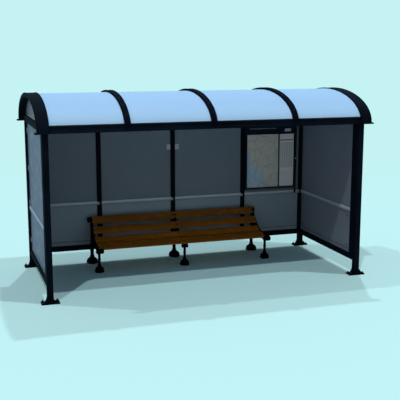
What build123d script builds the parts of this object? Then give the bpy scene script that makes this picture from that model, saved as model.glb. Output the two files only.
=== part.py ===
"""Bus shelter: a black steel frame with clouded glazing, a barrel-vault roof and a slatted bench.

Frame of reference: the origin is on the ground, at the centre of the four corner posts.
+X runs along the shelter to the right, +Y towards the back wall and +Z up. Sizes are in mm.
"""

import os
from math import atan2, cos, degrees, radians, sin

from build123d import *

# ---- Plan -------------------------------------------------------------------------------
bay_pitch = 1190.0           # from roof rib to roof rib, and from mullion to mullion
bay_count = 4
post_setback = 130.0         # corner post's centre line inside the end of the last bay
post_pitch_y = 1930.0        # corner posts, centre to centre, front to back

# ---- Corner posts -----------------------------------------------------------------------
post_size = 80.0
post_corner_chamfer = 4.0
headroom = 2237.0            # ground to the underside of the eaves beams
collar_flare = 20.0          # how far the welded collar spreads past each face of the post
collar_height = 60.0
plate_thickness = 20.0
plate_reach = 80.0           # base plate beyond the post's face, along X
plate_margin = 22.5          # base plate beyond the post's face, along Y
bolt_inset_x = 24.0          # bolt centres inside the ends of the plate
bolt_inset_y = 20.5          # bolt centres inside the sides of the plate
bolt_hole_diameter = 14.0

# ---- Eaves beams and end-wall top rails -------------------------------------------------
beam_height = 93.0
beam_overhang = 52.0         # beam's outer face in front of the post's outer face
beam_lip_height = 14.0
beam_recess = 6.0            # depth of the beam face between its two lips
top_rail_thickness = 80.0

# ---- Walls ------------------------------------------------------------------------------
rail_underside = 205.0       # gap under the walls
rail_height = 73.0
rail_thickness = 60.0
mullion_width = 60.0
mullion_depth = 60.0
upright_width = 115.0        # glazing upright behind each front post
upright_thickness = 70.0
waist_rail_centre = 933.0    # height of the waist rail's middle
waist_rail_height = 57.0
waist_rail_thickness = 40.0
waist_rail_chamfer = 7.0
glazing_thickness = 10.0

# ---- Barrel-vault roof ------------------------------------------------------------------
rib_overhang = 31.0          # rib's outer face in front of the beam, at the springing
springing_drop = 64.0        # where the vault turns vertical, below the top of the beams
vault_rise = 456.0           # from the springing to the outer face of a rib at the crown
rib_width = 76.0
rib_stem_width = 50.0
rib_cap_thickness = 32.0     # how far a rib stands proud of the sheets
rib_stem_depth = 40.0
roof_overhang = 110.0        # end arch's outer face beyond the corner post's centre line
end_arch_width = 155.0
end_arch_depth = 60.0
end_arch_drop = 18.0         # end arch's crown below the crown of a rib
arch_foot_height = 22.0
arch_foot_lip = 10.0         # foot's lip beyond the hood, along Y
arch_foot_reach = 30.0       # foot's lip beyond the hood, along X
sheet_thickness = 8.0
fit_gap = 0.3                # between curved faces that seat on each other

# ---- Bench supports ---------------------------------------------------------------------
bench_wall_gap = 60.0        # rear legs' centre line to the middle of the back wall
bench_support_pitch = 1336.0
support_thickness = 34.0
support_bar = 30.0           # depth of the curved bar under the slats
support_web_thickness = 14.0
end_rim_thickness = 16.0     # rim that covers the slat ends, on the outside of each end support
end_rim_rise = 2.0           # rim above the faces of the slats
bar_facets = 12              # straight edges along each side of the curved bar
web_underside = 300.0
web_head_drop = 130.0        # web's corner on the upright, below the middle of the upper slat
upright_depth = 28.0
rear_leg_diameter = 42.0
front_leg_forward = 575.0
front_leg_diameter = 32.0
rear_foot_diameter = 160.0
front_foot_diameter = 128.0
foot_height = 94.0
foot_rim_height = 20.0
front_scroll_forward = 600.0
front_scroll_height = 331.0
front_scroll_diameter = 104.0
front_scroll_width = 104.0
middle_scroll_forward = 585.0    # the middle support's smaller scroll, tucked under the seat
middle_scroll_height = 305.0
middle_scroll_diameter = 60.0
top_scroll_forward = 15.0
top_scroll_rise = 3.0        # top scroll's middle above the middle of the upper slat
top_scroll_diameter = 76.0
top_scroll_width = 84.0
top_scroll_offset = 20.0     # top scroll's middle to the left of its support

# ---- Bench slats: middle of each face, forward of the rear legs and above the ground ----
slat_thickness = 22.0
slat_edge_chamfer = 4.0
slat_bite = 3.0              # depth of the flat that each slat beds into
slat_end_gap = 1.0           # between the slat ends and the rims of the end supports
back_slat_width = 116.0
seat_slat_width = 118.0
upper_back_forward = 55.0
upper_back_height = 685.0
upper_back_angle = 80.0
lower_back_forward = 175.0
lower_back_drop = 130.0      # below the middle of the upper slat
lower_back_angle = 59.0
rear_seat_forward = 302.0
rear_seat_height = 439.0
rear_seat_angle = 30.0
middle_seat_forward = 428.0
middle_seat_height = 398.0
middle_seat_angle = 4.0
front_seat_forward = 554.0
front_seat_height = 375.0
front_seat_angle = 16.0

# ---- Display case in the right-hand bay -------------------------------------------------
case_left_gap = 4.0          # between the last mullion and the case
case_right_gap = 82.0        # between the case and the corner post
case_bottom_gap = 38.5       # above the waist rail
case_top_gap = 157.0         # below the eaves beam
case_depth = 50.0
case_frame_width = 28.0
case_back_thickness = 8.0
case_header_height = 136.0
case_header_depth = 34.0
case_divider_width = 10.0
case_leg_drop = 80.0
case_leg_depth = 12.0
map_width = 570.0
sheet_board_thickness = 5.0

# ---- Derived places ---------------------------------------------------------------------
post_x = bay_pitch * bay_count / 2 - post_setback
post_y = post_pitch_y / 2
inner_x = post_x - post_size / 2
outer_x = post_x + post_size / 2
inner_y = post_y - post_size / 2
beam_front = post_y + post_size / 2 + beam_overhang
beam_top = headroom + beam_height
rail_top = rail_underside + rail_height
waist_low = waist_rail_centre - waist_rail_height / 2
waist_high = waist_rail_centre + waist_rail_height / 2
upright_end = inner_y - upright_width
vault_half_span = beam_front + rib_overhang
vault_springing = beam_top - springing_drop
roof_half_length = post_x + roof_overhang
arch_inner_x = roof_half_length - end_arch_width
bench_half_length = bench_support_pitch + support_thickness / 2
slat_length = 2 * (bench_half_length - end_rim_thickness - slat_end_gap)
line_positions = [(i - bay_count / 2) * bay_pitch for i in range(1, bay_count)]

lower_back_height = upper_back_height - lower_back_drop
top_scroll_height = upper_back_height + top_scroll_rise

# Each slat: its face's middle (y, z) from the rear legs' foot, its slope and its width.
upper_back_slat = (-upper_back_forward, upper_back_height, upper_back_angle, back_slat_width)
lower_back_slat = (-lower_back_forward, lower_back_height, lower_back_angle, back_slat_width)
rear_seat_slat = (-rear_seat_forward, rear_seat_height, rear_seat_angle, seat_slat_width)
middle_seat_slat = (-middle_seat_forward, middle_seat_height, middle_seat_angle, seat_slat_width)
front_seat_slat = (-front_seat_forward, front_seat_height, front_seat_angle, seat_slat_width)
back_slats = [upper_back_slat, lower_back_slat]
seat_slats = [rear_seat_slat, middle_seat_slat, front_seat_slat]

parts = {}


# ---- Helpers ----------------------------------------------------------------------------
def block(x_range, y_range, z_range):
    """A box given by its limits on each axis."""
    sizes = [high - low for low, high in (x_range, y_range, z_range)]
    middle = [(high + low) / 2 for low, high in (x_range, y_range, z_range)]
    return Pos(*middle) * Box(*sizes)


def about(centre, size):
    """Limits of a stretch of the given size about its centre."""
    return (centre - size / 2, centre + size / 2)


# ---- Frame ------------------------------------------------------------------------------
def corner_post():
    """A square post with its welded base plate and tapered collar, centred on the origin."""
    plate_length = post_size + 2 * plate_reach
    plate_width = post_size + 2 * plate_margin
    plate_face = Pos(0, 0, plate_thickness)
    plate = extrude(Rectangle(plate_length, plate_width), plate_thickness)
    square = Rectangle(post_size, post_size)
    section = chamfer(square.vertices(), post_corner_chamfer)
    shaft = plate_face * extrude(section, headroom - plate_thickness)
    collar_size = post_size + 2 * collar_flare
    collar_taper = degrees(atan2(collar_flare, collar_height))
    collar = plate_face * extrude(Rectangle(collar_size, collar_size), collar_height, taper=collar_taper)
    bolt_places = GridLocations(plate_length - 2 * bolt_inset_x, plate_width - 2 * bolt_inset_y, 2, 2)
    holes = bolt_places * Cylinder(bolt_hole_diameter / 2, 3 * plate_thickness)
    return plate + shaft + collar - holes


def eaves_beam():
    """The front beam: a deep section with a lip along the top and bottom of its outer face."""
    beam = block((-outer_x, outer_x), (-beam_front, -inner_y), (headroom, beam_top))
    recess = block(
        (-outer_x, outer_x),
        (-beam_front, -beam_front + beam_recess),
        (headroom + beam_lip_height, beam_top - beam_lip_height),
    )
    return beam - recess


def waist_rail(length):
    """A waist rail along X, centred on the origin, with its long edges chamfered."""
    rail = Box(length, waist_rail_thickness, waist_rail_height)
    return chamfer(rail.edges().filter_by(Axis.X), waist_rail_chamfer)


def build_frame():
    post = corner_post()
    for row, y in (("front", -post_y), ("back", post_y)):
        for side, x in (("left", -post_x), ("right", post_x)):
            parts[f"{row}_{side}_post"] = Pos(x, y, 0) * post
    beam = eaves_beam()
    parts["front_beam"] = beam
    parts["back_beam"] = mirror(beam, Plane.XZ)
    for name, side in (("left", -1), ("right", 1)):
        wall_x = side * post_x
        parts[f"{name}_top_rail"] = block(
            about(wall_x, top_rail_thickness), (-inner_y, inner_y), (headroom, beam_top)
        )
        parts[f"{name}_bottom_rail"] = block(
            about(wall_x, rail_thickness), (-inner_y, inner_y), (rail_underside, rail_top)
        )
        parts[f"{name}_front_upright"] = block(
            about(wall_x, upright_thickness), (-inner_y, -upright_end), (rail_top, headroom)
        )
        rail = waist_rail(upright_end + inner_y)
        middle_y = (inner_y - upright_end) / 2
        parts[f"{name}_waist_rail"] = Pos(wall_x, middle_y, waist_rail_centre) * Rot(0, 0, 90) * rail
    parts["back_bottom_rail"] = block(
        (-inner_x, inner_x), about(post_y, rail_thickness), (rail_underside, rail_top)
    )
    for number, x in enumerate(line_positions, 1):
        parts[f"back_mullion_{number}"] = block(
            about(x, mullion_width), about(post_y, mullion_depth), (rail_top, headroom)
        )


def back_bays():
    """Limits in X of each glazed bay of the back wall, from left to right."""
    lefts = [-inner_x] + [x + mullion_width / 2 for x in line_positions]
    rights = [x - mullion_width / 2 for x in line_positions] + [inner_x]
    return list(zip(lefts, rights))


def build_walls():
    lower = (rail_top, waist_low)
    upper = (waist_high, headroom)
    rails = []
    for number, bay in enumerate(back_bays(), 1):
        left, right = bay
        panes = [block(bay, about(post_y, glazing_thickness), z_range) for z_range in (lower, upper)]
        parts[f"back_panel_{number}"] = Compound(children=panes)
        rails.append(Pos((left + right) / 2, post_y, waist_rail_centre) * waist_rail(right - left))
    parts["back_waist_rail"] = Compound(children=rails)
    for name, side in (("left", -1), ("right", 1)):
        wall = about(side * post_x, glazing_thickness)
        panes = [block(wall, (-upright_end, inner_y), z_range) for z_range in (lower, upper)]
        parts[f"{name}_wall_panel"] = Compound(children=panes)


# ---- Roof -------------------------------------------------------------------------------
def vault_outline(inset, drop, foot):
    """The area under the vault's curve, inset from it with its crown dropped, above foot."""
    half_span = vault_half_span - inset
    rise = vault_rise - inset - drop
    legs = Pos(0, vault_springing - rise / 2) * Rectangle(2 * half_span, rise)
    above_foot = Pos(0, foot + rise) * Rectangle(2 * half_span, 2 * rise)
    return (Pos(0, vault_springing) * Ellipse(half_span, rise) + legs) & above_foot


def slice_along_x(outline, x_range):
    """Extrude an outline of a cross-section (y, z) over x_range."""
    return extrude(Plane.YZ.offset(x_range[0]) * outline, x_range[1] - x_range[0])


def vault_band(inset, depth, x_range, foot, drop=0.0):
    """An arched band of the given depth, its outer face at inset from the vault's curve."""
    band = vault_outline(inset, drop, foot) - vault_outline(inset + depth, drop, foot)
    return slice_along_x(band, x_range)


def end_arch():
    """The right-hand end arch: a hood that folds down over the ends of both beams."""
    hood = vault_band(0, end_arch_depth, (arch_inner_x, roof_half_length), headroom, end_arch_drop)
    foot_outer = vault_half_span + arch_foot_lip
    foot = block(
        (arch_inner_x, roof_half_length + arch_foot_reach),
        (-foot_outer, -vault_half_span + end_arch_depth),
        (headroom, headroom + arch_foot_height),
    )
    beams = block((-outer_x, outer_x), (-beam_front, beam_front), (headroom, beam_top))
    return hood + foot + mirror(foot, Plane.XZ) - beams


def build_roof():
    for number, x in enumerate(line_positions, 1):
        cap = vault_band(0, rib_cap_thickness, about(x, rib_width), beam_top)
        stem = vault_band(rib_cap_thickness, rib_stem_depth, about(x, rib_stem_width), beam_top)
        parts[f"roof_rib_{number}"] = cap + stem
    edges = [x + side * rib_stem_width / 2 for x in line_positions for side in (-1, 1)]
    stops = [-arch_inner_x] + edges + [arch_inner_x]
    for number in range(bay_count):
        span = (stops[2 * number], stops[2 * number + 1])
        parts[f"roof_sheet_{number + 1}"] = vault_band(
            rib_cap_thickness + fit_gap, sheet_thickness, span, beam_top
        )
    arch = end_arch()
    parts["right_end_arch"] = arch
    parts["left_end_arch"] = mirror(arch, Plane.YZ)
    gable = vault_outline(end_arch_depth + fit_gap, end_arch_drop, beam_top)
    for name, side in (("left", -1), ("right", 1)):
        parts[f"{name}_gable_panel"] = slice_along_x(gable, about(side * post_x, glazing_thickness))


# ---- Bench ------------------------------------------------------------------------------
def slat_point(slat, depth, along=0.0):
    """The point (y, z) at a depth below the middle of a slat's face, moved along its slope."""
    y, z, slope, _ = slat
    return (
        y + depth * sin(radians(slope)) + along * cos(radians(slope)),
        z - depth * cos(radians(slope)) + along * sin(radians(slope)),
    )


def slat_blank(slat):
    """One square-edged slat along X, in its place on the supports."""
    y, z = slat_point(slat, slat_thickness / 2)
    return Pos(0, y, z) * Rot(slat[2], 0, 0) * Box(slat_length, slat[3], slat_thickness)


def slat_board(slat):
    """One slat with its long edges eased."""
    board = slat_blank(slat)
    return chamfer(board.edges().filter_by(Axis.X), slat_edge_chamfer)


def smooth_points(points):
    """Points spread evenly along a smooth curve through the given ones."""
    curve = Spline(*points)
    return [curve @ (step / bar_facets) for step in range(bar_facets + 1)]


def bar_outline(top_depth):
    """The curved bar that carries the slats, from the upright's head to the front scroll."""
    slats = back_slats + seat_slats
    bottom_depth = slat_thickness + support_bar
    head = [slat_point(upper_back_slat, depth, back_slat_width / 2) for depth in (top_depth, bottom_depth)]
    front_end = (-front_scroll_forward, front_scroll_height)
    top = smooth_points([head[0]] + [slat_point(slat, top_depth) for slat in slats] + [front_end])
    bottom = smooth_points([head[1]] + [slat_point(slat, bottom_depth) for slat in slats] + [front_end])
    return make_face(Polyline(*top, *reversed(bottom[:-1]), close=True))


def web_outline():
    """The thin web that fills the corner between the bar, the upright and the seat's underside."""
    under_slats = [slat_point(slat, slat_thickness) for slat in reversed([lower_back_slat] + seat_slats)]
    corners = [(0, web_underside), (-front_scroll_forward, web_underside)]
    return Polygon(*corners, *under_slats, (0, upper_back_height - web_head_drop), align=None)


def leg(foot_diameter, leg_diameter):
    """A round leg on a bell foot, from the origin up to the web's underside."""
    radius = foot_diameter / 2
    leg_radius = leg_diameter / 2
    bell = [(0, 0), (radius, 0), (radius, foot_rim_height), (leg_radius, foot_height)]
    outline = Polyline(*bell, (leg_radius, web_underside), (0, web_underside), close=True)
    return revolve(Plane.XZ * make_face(outline), Axis.Z)


def scroll(diameter, width):
    """A rolled scroll end: a drum along X."""
    return Rot(0, 90, 0) * Cylinder(diameter / 2, width)


def bench_support(scroll_forward, scroll_height, scroll_diameter):
    """A cast support in the plane x = 0, its rear leg standing on the origin."""
    across = about(0, support_thickness)
    casting = slice_along_x(bar_outline(slat_thickness - slat_bite), across)
    casting += slice_along_x(web_outline(), about(0, support_web_thickness))
    casting += block(across, about(0, upright_depth), (web_underside, top_scroll_height))
    casting += leg(rear_foot_diameter, rear_leg_diameter)
    casting += Pos(0, -front_leg_forward, 0) * leg(front_foot_diameter, front_leg_diameter)
    casting += Pos(0, -scroll_forward, scroll_height) * scroll(scroll_diameter, front_scroll_width)
    casting += Pos(-top_scroll_offset, -top_scroll_forward, top_scroll_height) * scroll(
        top_scroll_diameter, top_scroll_width
    )
    return casting


def build_bench():
    place = Pos(0, post_y - bench_wall_gap, 0)
    parts["bench_back_slats"] = place * Compound(children=[slat_board(slat) for slat in back_slats])
    parts["bench_seat_slats"] = place * Compound(children=[slat_board(slat) for slat in seat_slats])
    seats = Compound(children=[slat_blank(slat) for slat in back_slats + seat_slats])
    end_support = bench_support(front_scroll_forward, front_scroll_height, front_scroll_diameter)
    middle_support = bench_support(middle_scroll_forward, middle_scroll_height, middle_scroll_diameter)
    rim_range = (bench_half_length - end_rim_thickness, bench_half_length)
    rim = slice_along_x(bar_outline(-end_rim_rise), rim_range)
    for name, side in (("left", -1), ("right", 1)):
        end_rim = rim if side > 0 else mirror(rim, Plane.YZ)
        casting = Pos(side * bench_support_pitch, 0, 0) * end_support + end_rim
        parts[f"bench_{name}_support"] = place * (casting - seats)
    parts["bench_middle_support"] = place * (middle_support - seats)


# ---- Display case -----------------------------------------------------------------------
def build_display_case():
    left = line_positions[-1] + mullion_width / 2 + case_left_gap
    right = inner_x - case_right_gap
    case_bottom = waist_high + case_bottom_gap
    case_top = headroom - case_top_gap
    back = post_y - glazing_thickness / 2
    front = back - case_depth
    shell = block((left, right), (front, back), (case_bottom, case_top))
    inside = block(
        (left + case_frame_width, right - case_frame_width),
        (front, back - case_back_thickness),
        (case_bottom + case_frame_width, case_top - case_frame_width),
    )
    bracket = block(
        (right - case_frame_width, right),
        (front, front + case_leg_depth),
        (case_bottom - case_leg_drop, case_bottom),
    )
    parts["display_case"] = shell - inside + bracket
    inner_left = left + case_frame_width
    inner_right = right - case_frame_width
    board_back = back - case_back_thickness
    board_y = (board_back - sheet_board_thickness, board_back)
    header_bottom = case_top - case_frame_width - case_header_height
    parts["display_header"] = block(
        (inner_left, inner_right),
        (board_back - case_header_depth, board_back),
        (header_bottom, case_top - case_frame_width),
    )
    board_z = (case_bottom + case_frame_width, header_bottom)
    map_right = inner_left + map_width
    parts["map_board"] = block((inner_left, map_right), board_y, board_z)
    parts["timetable_board"] = block((map_right + case_divider_width, inner_right), board_y, board_z)


build_frame()
build_walls()
build_roof()
build_bench()
build_display_case()

os.makedirs("parts", exist_ok=True)
for name, shape in parts.items():
    export_step(shape, f"parts/{name}.step")
print(f"{len(parts)} nodes written")
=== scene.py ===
"""Looks of the bus shelter: black steel frame, clouded glazing, barrel-vault roof, slatted bench.

Lengths are in metres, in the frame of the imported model: +X along the shelter to the right,
+Y towards the back wall, +Z up, the origin on the ground in the middle of the corner posts.
Sizes that the CAD nodes have are read from their boxes.
"""

from math import asin, cos, pi, radians, sin

import bmesh
import bpy
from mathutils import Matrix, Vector


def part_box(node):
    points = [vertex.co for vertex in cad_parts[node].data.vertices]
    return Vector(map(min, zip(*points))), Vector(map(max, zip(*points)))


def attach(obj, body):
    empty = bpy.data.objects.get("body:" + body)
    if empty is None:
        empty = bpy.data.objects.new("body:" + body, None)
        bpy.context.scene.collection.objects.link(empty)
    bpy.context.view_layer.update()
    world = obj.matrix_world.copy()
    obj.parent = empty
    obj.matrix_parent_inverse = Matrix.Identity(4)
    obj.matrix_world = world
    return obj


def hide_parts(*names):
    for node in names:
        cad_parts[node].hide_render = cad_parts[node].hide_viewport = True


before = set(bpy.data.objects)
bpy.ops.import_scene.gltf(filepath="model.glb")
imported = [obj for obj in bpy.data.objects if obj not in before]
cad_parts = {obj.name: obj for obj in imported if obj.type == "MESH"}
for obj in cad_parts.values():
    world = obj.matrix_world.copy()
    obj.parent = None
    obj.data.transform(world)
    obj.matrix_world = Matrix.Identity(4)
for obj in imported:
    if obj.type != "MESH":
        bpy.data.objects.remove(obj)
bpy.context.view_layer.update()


# ---- Sizes ----
def span(node, axis):
    """Both ends of a CAD node's box along an axis."""
    return [getattr(corner, axis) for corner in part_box(node)]


def middle(node, axis):
    """The middle of a CAD node's box along an axis."""
    return sum(span(node, axis)) / 2


SIDES = (("left", -1), ("right", 1))
FACES = (-1, 1)  # towards -X or -Y, and towards +X or +Y

OUTER_X = span("back_beam", "x")[1]
BEAM_INNER, BEAM_OUTER = span("back_beam", "y")
HEADROOM, BEAM_TOP = span("back_beam", "z")
ARCH_INNER_X, FOOT_TIP_X = span("right_end_arch", "x")
FOOT_TIP_Y = span("right_end_arch", "y")[1]
ROOF_END_X = FOOT_TIP_X - 0.030
POST_X = middle("right_wall_panel", "x")
POST_Y = middle("back_panel_1", "y")
POST_INNER_X = span("back_bottom_rail", "x")[1]
POST_HALF = POST_X - POST_INNER_X
RAIL_TOP = span("back_bottom_rail", "z")[1]
WAIST_LOW, WAIST_HIGH = span("back_waist_rail", "z")
WAIST_MIDDLE = (WAIST_LOW + WAIST_HIGH) / 2
PANE_FRONT, PANE_BACK = span("right_wall_panel", "y")
HALF_GLAZING = POST_X - span("right_wall_panel", "x")[0]
RIB_XS = [middle(f"roof_rib_{number}", "x") for number in (1, 2, 3)]
RIB_HALF = span("roof_rib_2", "x")[1]

# The vault is half an ellipse that springs from inside the beams' height.
SPRINGING = 2.266
HALF_SPAN = 1.088
RISE = span("roof_rib_2", "z")[1] - SPRINGING
ARCH_DROP = 0.018  # the end arches and gables lie this much below the ribs

# The base plates and the tapered collars on them.
PLATE_TOP = 0.020
COLLAR_FLARE = 0.020
COLLAR_HEIGHT = 0.060

# The bench is drawn forward of its rear legs: forward is towards -Y.
BENCH_Y = 0.905
FRONT_LEG_FORWARD = 0.575
SLAT_END = span("bench_seat_slats", "x")[1]
SLAT_THICKNESS = 0.022
SLATS = {  # forward of the rear legs, height, slope in degrees, width
    "bench_back_slats": ((0.055, 0.685, 80, 0.116), (0.175, 0.555, 59, 0.116)),
    "bench_seat_slats": (
        (0.302, 0.439, 30, 0.118), (0.428, 0.398, 4, 0.118), (0.554, 0.375, 16, 0.118)
    ),
}
ALL_SLATS = [slat for slats in SLATS.values() for slat in slats]


# ---- Mesh building ----
def add_object(name, data):
    piece = bpy.data.objects.new(name, data)
    bpy.context.collection.objects.link(piece)
    return piece


class Shape:
    """Collects points and faces, and makes one Blender object of them."""

    def __init__(self):
        self.points = []
        self.faces = []

    def loft(self, rings):
        """Skin closed rings of equal size, one after another, and cap both ends."""
        first, size = len(self.points), len(rings[0])
        self.points += [tuple(p) for ring in rings for p in ring]
        for low in range(first, len(self.points) - size, size):
            high = low + size
            for i in range(size):
                j = (i + 1) % size
                self.faces.append([low + i, low + j, high + j, high + i])
        self.faces.append([first + i for i in range(size)])
        self.faces.append([len(self.points) - size + i for i in reversed(range(size))])

    def box(self, corner, opposite, ease=0.0015):
        """A box between two opposite corners, with every edge eased."""
        low, high = zip(*(sorted(pair) for pair in zip(corner, opposite)))
        self.loft(eased_rings(low, high, ease))

    def lathe(self, profile, place, sides=32):
        """Turn a profile of (radius, height) about an axis; place maps (a, b, c) to the frame."""
        turns = [2 * pi * i / sides for i in range(sides)]
        self.loft([
            [place(radius * cos(t), radius * sin(t), height) for t in turns]
            for radius, height in profile
        ])

    def make(self, name, material, slot, replaces=(), sharp=32):
        """Make an object; edges of more than sharp degrees stay hard."""
        mesh = bpy.data.meshes.new(name)
        mesh.from_pydata(self.points, [], self.faces)
        skin = bmesh.new()
        skin.from_mesh(mesh)
        bmesh.ops.recalc_face_normals(skin, faces=skin.faces)
        skin.to_mesh(mesh)
        skin.free()
        mesh.shade_smooth()
        mesh.set_sharp_from_angle(angle=radians(sharp))
        mesh.materials.append(material)
        piece = add_object(name, mesh)
        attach(piece, "root")
        if replaces:
            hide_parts(*replaces)


def eased_rings(low, high, ease):
    """Rings along X of a box with eased edges."""
    (x0, y0, z0), (x1, y1, z1) = low, high
    ease = min(ease, (x1 - x0) / 3, (y1 - y0) / 3, (z1 - z0) / 3)
    end_corner = ease * 0.4
    rings = []
    for x, inset, e in (
        (x0, ease, end_corner), (x0 + ease, 0, ease), (x1 - ease, 0, ease), (x1, ease, end_corner)
    ):
        a, b, c, d = y0 + inset, y1 - inset, z0 + inset, z1 - inset
        rings.append([
            (x, a + e, c), (x, b - e, c), (x, b, c + e), (x, b, d - e),
            (x, b - e, d), (x, a + e, d), (x, a, d - e), (x, a, c + e),
        ])
    return rings


def rounded_section(width, depth, radius, steps=4):
    """Points of a rounded rectangle about the origin."""
    points = []
    corners = ((1, 1, 0), (-1, 1, 90), (-1, -1, 180), (1, -1, 270))
    for sx, sy, start in corners:
        cx, cy = sx * (width / 2 - radius), sy * (depth / 2 - radius)
        for i in range(steps + 1):
            t = radians(start + 90 * i / steps)
            points.append((cx + radius * cos(t), cy + radius * sin(t)))
    return points


def mirrored(half):
    """A closed section from its right-hand half."""
    return half + [(-a, b) for a, b in reversed(half)]


# Places for turned pieces: a and b lie across the axis, and c runs along it.
def upright_place(x, y, z):
    return lambda a, b, c: (x + a, y + b, z + c)


def across_place(x, y, z, face=1):
    return lambda a, b, c: (x + face * c, y + a, z + b)


def inward_place(x, y, z):
    return lambda a, b, c: (x + a, y + c, z + b)


def slanted_place(centre, out):
    along = Vector((0, out.z, -out.y))
    return lambda a, b, c: tuple(centre + Vector((a, 0, 0)) + along * b + out * c)


# ---- The vault ----
def vault_point(inset, drop, foot, t):
    """A point (y, z) on the vault's curve at inset, t running from the back foot to the front."""
    half_span, rise = HALF_SPAN - inset, RISE - inset - drop
    if foot >= SPRINGING:
        start = asin((foot - SPRINGING) / rise)
        angle = start + t * (pi - 2 * start)
        return half_span * cos(angle), SPRINGING + rise * sin(angle)
    leg = 0.02  # the share of t for each straight stretch below the springing
    end = min(t, 1 - t)
    if end < leg:
        return half_span if t < 0.5 else -half_span, foot + (SPRINGING - foot) * end / leg
    angle = pi * (t - leg) / (1 - 2 * leg)
    return half_span * cos(angle), SPRINGING + rise * sin(angle)


def vault_sweep(section, foot, drop=0.0, stations=96):
    """Rings of a section of (x, inset) points swept along the vault."""
    return [
        [(x, *vault_point(inset, drop, foot, s / stations)) for x, inset in section]
        for s in range(stations + 1)
    ]


def lipped_section(x0, x1, depth, lip, recess):
    """A band's section whose outer face has a raised lip along both edges."""
    soft = 0.002
    return [
        (x0, depth), (x0, soft), (x0 + soft, 0), (x0 + lip, 0), (x0 + lip + soft, recess),
        (x1 - lip - soft, recess), (x1 - lip, 0), (x1 - soft, 0), (x1, soft), (x1, depth),
    ]


# ---- Node trees ----
def opaque(colour):
    """A colour with its alpha; a socket is passed on."""
    return (*colour, 1) if isinstance(colour, tuple) else colour


def shade(colour, gain):
    """A colour times a number, held at 1."""
    return tuple(min(channel * gain, 1) for channel in colour)


class Nodes:
    """Adds nodes to a tree. A value is a number, a vector or another node's output."""

    def __init__(self, tree):
        self.tree = tree

    def set(self, node, key, value):
        socket = node.inputs[key]
        if isinstance(value, bpy.types.NodeSocket):
            self.tree.links.new(value, socket)
        else:
            socket.default_value = value

    def node(self, kind, values=None, **settings):
        node = self.tree.nodes.new(kind)
        for key, value in settings.items():
            setattr(node, key, value)
        for key, value in (values or {}).items():
            self.set(node, key, value)
        return node

    def math(self, operation, a, b=0.5):
        return self.node("ShaderNodeMath", {0: a, 1: b}, operation=operation).outputs[0]

    def times(self, first, *others):
        for other in others:
            first = self.math("MULTIPLY", first, other)
        return first

    def grey(self, factor, low, high, out_low=0.0, out_high=1.0):
        """Map a stretch of a value to another stretch, held at both ends."""
        values = {"Value": factor, "From Min": low, "From Max": high}
        values.update({"To Min": out_low, "To Max": out_high})
        return self.node("ShaderNodeMapRange", values).outputs["Result"]

    def between(self, value, low, high, soft=0.005):
        """1 from low to high and 0 outside, with soft edges above both."""
        return self.times(
            self.grey(value, low, low + soft), self.grey(value, high, high + soft, 1.0, 0.0)
        )

    def mix(self, factor, a, b, blend="MIX"):
        values = {"Fac": factor, "Color1": opaque(a), "Color2": opaque(b)}
        return self.node("ShaderNodeMixRGB", values, blend_type=blend).outputs["Color"]

    def seen_directly(self):
        """1 for what the camera, a reflection or a transmission sees."""
        path = self.node("ShaderNodeLightPath").outputs
        seen = path["Is Camera Ray"]
        for ray in ("Is Glossy Ray", "Is Transmission Ray"):
            seen = self.math("MAXIMUM", seen, path[ray])
        return seen

    def blend(self, output, factor, near, far):
        """Send a blend of two shaders to the tree's output."""
        values = {0: factor, 1: near.outputs[0], 2: far.outputs[0]}
        mixed = self.node("ShaderNodeMixShader", values)
        self.node(output, {"Surface": mixed.outputs[0]})


class Material(Nodes):
    """A procedural material on one Principled shader, painted in the frame's coordinates."""

    def __init__(self, name, specular, roughness=0.5, metallic=0.0):
        self.material = bpy.data.materials.new(name)
        self.material.use_nodes = True
        super().__init__(self.material.node_tree)
        self.shader = self.tree.nodes["Principled BSDF"]
        self.set(self.shader, "Specular IOR Level", specular)
        self.set(self.shader, "Metallic", metallic)
        self.rough(roughness)
        self.place = self.node("ShaderNodeTexCoord").outputs["Object"]

    def axis(self, name):
        return self.node("ShaderNodeSeparateXYZ", {"Vector": self.place}).outputs[name]

    def stretched(self, scale, offset=(0, 0, 0)):
        values = {"Vector": self.place, "Scale": scale, "Location": offset}
        return self.node("ShaderNodeMapping", values).outputs["Vector"]

    def noise(self, scale, detail=4.0, stretch=(1, 1, 1), roughness=0.55, distortion=0.0):
        values = {"Vector": self.stretched(stretch), "Scale": scale, "Detail": detail}
        values.update({"Roughness": roughness, "Distortion": distortion})
        return self.node("ShaderNodeTexNoise", values).outputs["Fac"]

    def ramp(self, factor, stops):
        """Colours along a value, from two or more stops of (place, colour)."""
        node = self.node("ShaderNodeValToRGB", {"Fac": factor})
        elements = node.color_ramp.elements
        while len(elements) < len(stops):
            elements.new(0.5)
        for element, (place, colour) in zip(elements, stops):
            element.position = place
            element.color = opaque(colour)
        return node.outputs["Color"]

    def bump(self, height, strength, distance, edge=None):
        """Raise the surface by a height, and round the edges as seen by the light."""
        values = {"Height": height, "Strength": strength, "Distance": distance}
        if edge:
            bevel = self.node("ShaderNodeBevel", {"Radius": edge}, samples=4)
            values["Normal"] = bevel.outputs["Normal"]
        self.set(self.shader, "Normal", self.node("ShaderNodeBump", values).outputs["Normal"])

    def colour(self, colour):
        self.set(self.shader, "Base Color", opaque(colour))

    def rough(self, value):
        self.set(self.shader, "Roughness", value)


# ---- Materials ----
# The paint is darker just above the ground.
DARK_NEAR_GROUND = (0.0012, 0.0014, 0.0020)
# Painted light: the back wall's lower panes are lighter.
LOW_BAY_PAINTED_LIGHT = (1.52, 1.55, 1.54)  # the back wall's lower panes
# Painted light: the side walls are lighter.
SIDE_WALL_PAINTED_LIGHT = (1.14, 1.06, 1.10)  # the side walls
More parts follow.
